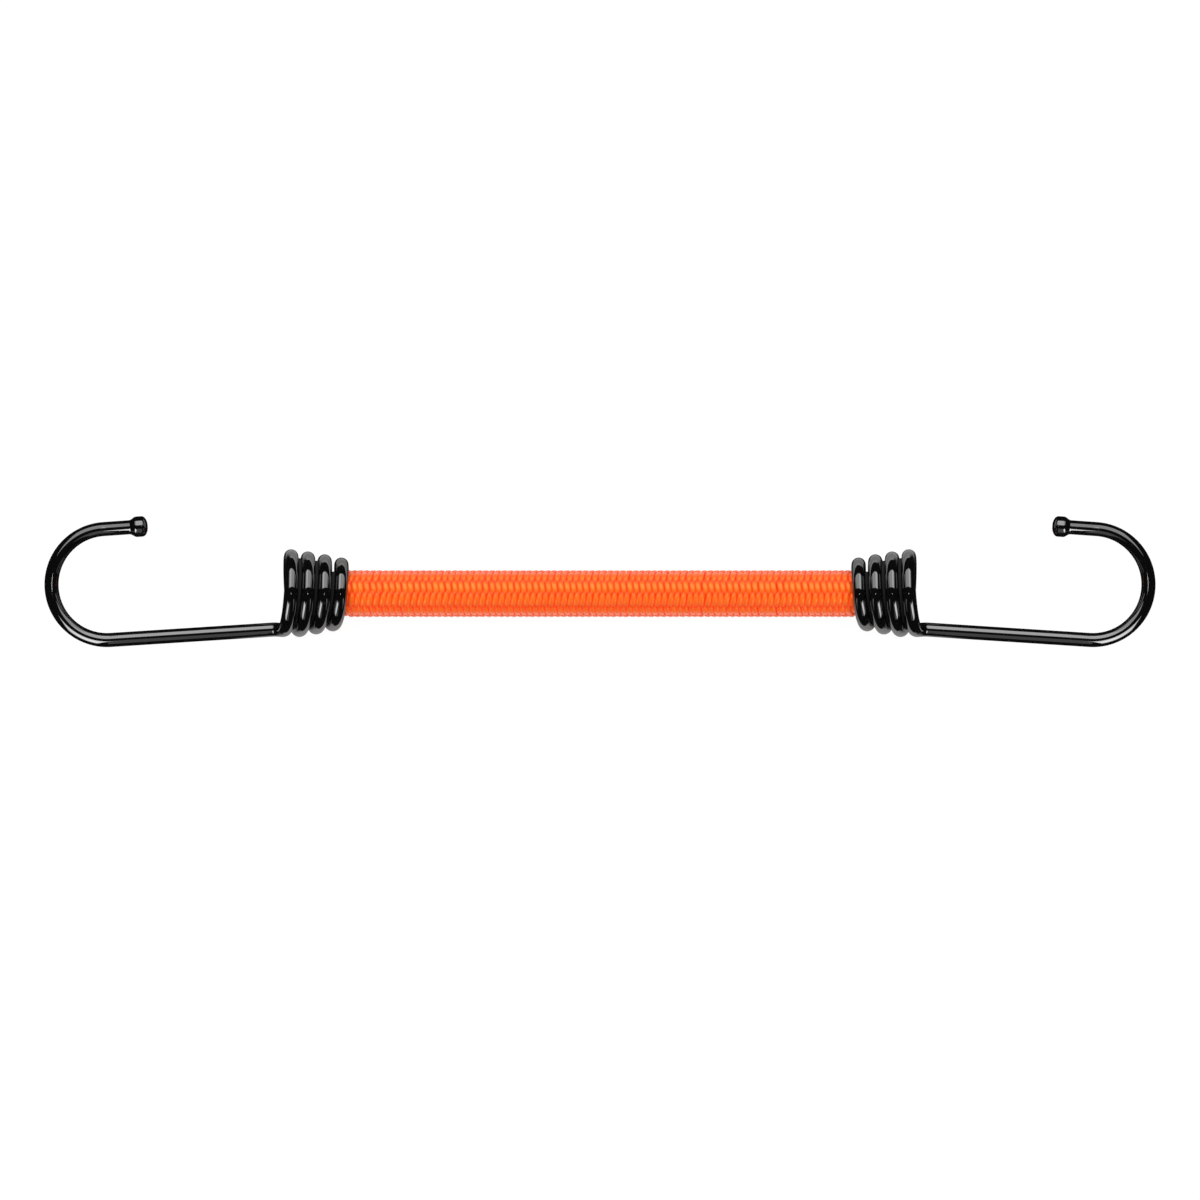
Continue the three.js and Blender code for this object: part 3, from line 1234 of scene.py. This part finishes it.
@dataclass
class Studio:
    """The white floor, the soft panels and the camera above."""

    place: CordPlace
    frame_width: float = 0.27
    camera_height: float = 1.8
    look_across: float = -4.14 * MM
    sensor: float = 36.0
    floor_size: float = 6.0
    floor_drop: float = 0.02 * MM
    ambient: float = 0.4
    dark: float = 0.01

    def camera(self) -> bpy.types.Object:
        """Look straight down, as the photograph does.

        Returns:
            The camera.
        """
        data = bpy.data.cameras.new("photo_camera")
        data.sensor_width = self.sensor
        data.lens = self.sensor * self.camera_height / self.frame_width
        camera = link(bpy.data.objects.new("photo_camera", data))
        camera.location = (0.0, self.look_across, self.place.height + self.camera_height)
        bpy.context.scene.camera = camera
        return camera

    def floor(self, finish: WhiteFloor) -> bpy.types.Object:
        """Lay the floor just under the windings.

        Args:
            finish: the floor's finish.

        Returns:
            The floor.
        """
        half = self.floor_size / 2
        height = -self.floor_drop
        corners = [(-half, -half, height), (half, -half, height), (half, half, height), (-half, half, height)]
        mesh = bpy.data.meshes.new("studio_floor")
        mesh.from_pydata(corners, [], [(0, 1, 2, 3)])
        mesh.materials.append(finish.material())
        floor = link(bpy.data.objects.new("studio_floor", mesh))
        return floor

    def lights(self) -> None:
        """Hang two wide lamps for the whole object, and the panels whose reflections the black wire shows."""
        shown = Lamp.MIRRORED
        front = Vector((0.0, -0.0927, 0.0911))
        back = Vector((0.0, 0.0887, 0.0951))
        panels = [
            Panel("key_lamp", Lamp.LIT, Vector((0.0, 0.22, 0.85)), (1.4, 0.6), 3.2),
            Panel("low_lamp", Lamp.LIT, Vector((0.0, -0.77, 0.2)), (1.4, 0.4), 0.8),
            Panel("back_panel", shown, Vector((0.0, 0.546, 0.585)), (1.3, 0.75), 1.8),
        ]
        for end in End:
            way = end.value
            turned = front + Vector((way * 0.035, 0.0, 0.0))
            panels += [
                Panel(end.word + "_front", shown, turned, (0.08, 0.118), 1.6, way * 0.131, math.radians(92)),
                Panel(end.word + "_fill", shown, front, (0.04, 0.118), 0.4, way * 0.096),
                Panel(end.word + "_back", shown, back, (0.05, 0.121), 1.2, way * 0.1),
            ]
        panels.append(Panel("top_lamp", shown, Vector((0.0, 0.0, 0.8)), (0.045, 0.045), 10.0))
        for panel in panels:
            panel.hang(self.place)

    def world(self) -> None:
        """Set a white surround for the camera, an even light on all, and a dark room in reflections."""
        world = bpy.data.worlds.new("studio_world")
        world.use_nodes = True
        bpy.context.scene.world = world
        graph = Graph(world.node_tree)
        seen, glossy = graph.sight()
        level = self.ambient + (self.dark - self.ambient) * glossy
        shade = graph.node("ShaderNodeBackground", {}, {
            "Color": (1.0, 1.0, 1.0, 1.0), "Strength": level + (1 - level) * seen})
        graph.node("ShaderNodeOutputWorld", {}, {"Surface": shade})


def main() -> None:
    """Build the studio, the cord and the hooks in order."""
    logging.basicConfig(level=logging.INFO, format="%(name)s %(message)s")
    bpy.context.scene.view_settings.view_transform = "Standard"
    place = CordPlace.from_frame()
    studio = Studio(place)
    studio.camera()
    hooks = {end: WireHook(place, end) for end in End}
    bare = hooks[End.LEFT].visible_cord / 2
    sheath = BraidedSheath(place)
    sheath.declare(sheath.build(OrangeYarn()), bare)
    core = RubberCore(place)
    core.declare(core.build(LatexStrand()), bare)
    for end in End:
        EndClamp(place, end).build(ZincWire())
        hooks[end].build(BlackDip())
    studio.floor(WhiteFloor())
    studio.lights()
    studio.world()


if __name__ == "__main__":
    main()
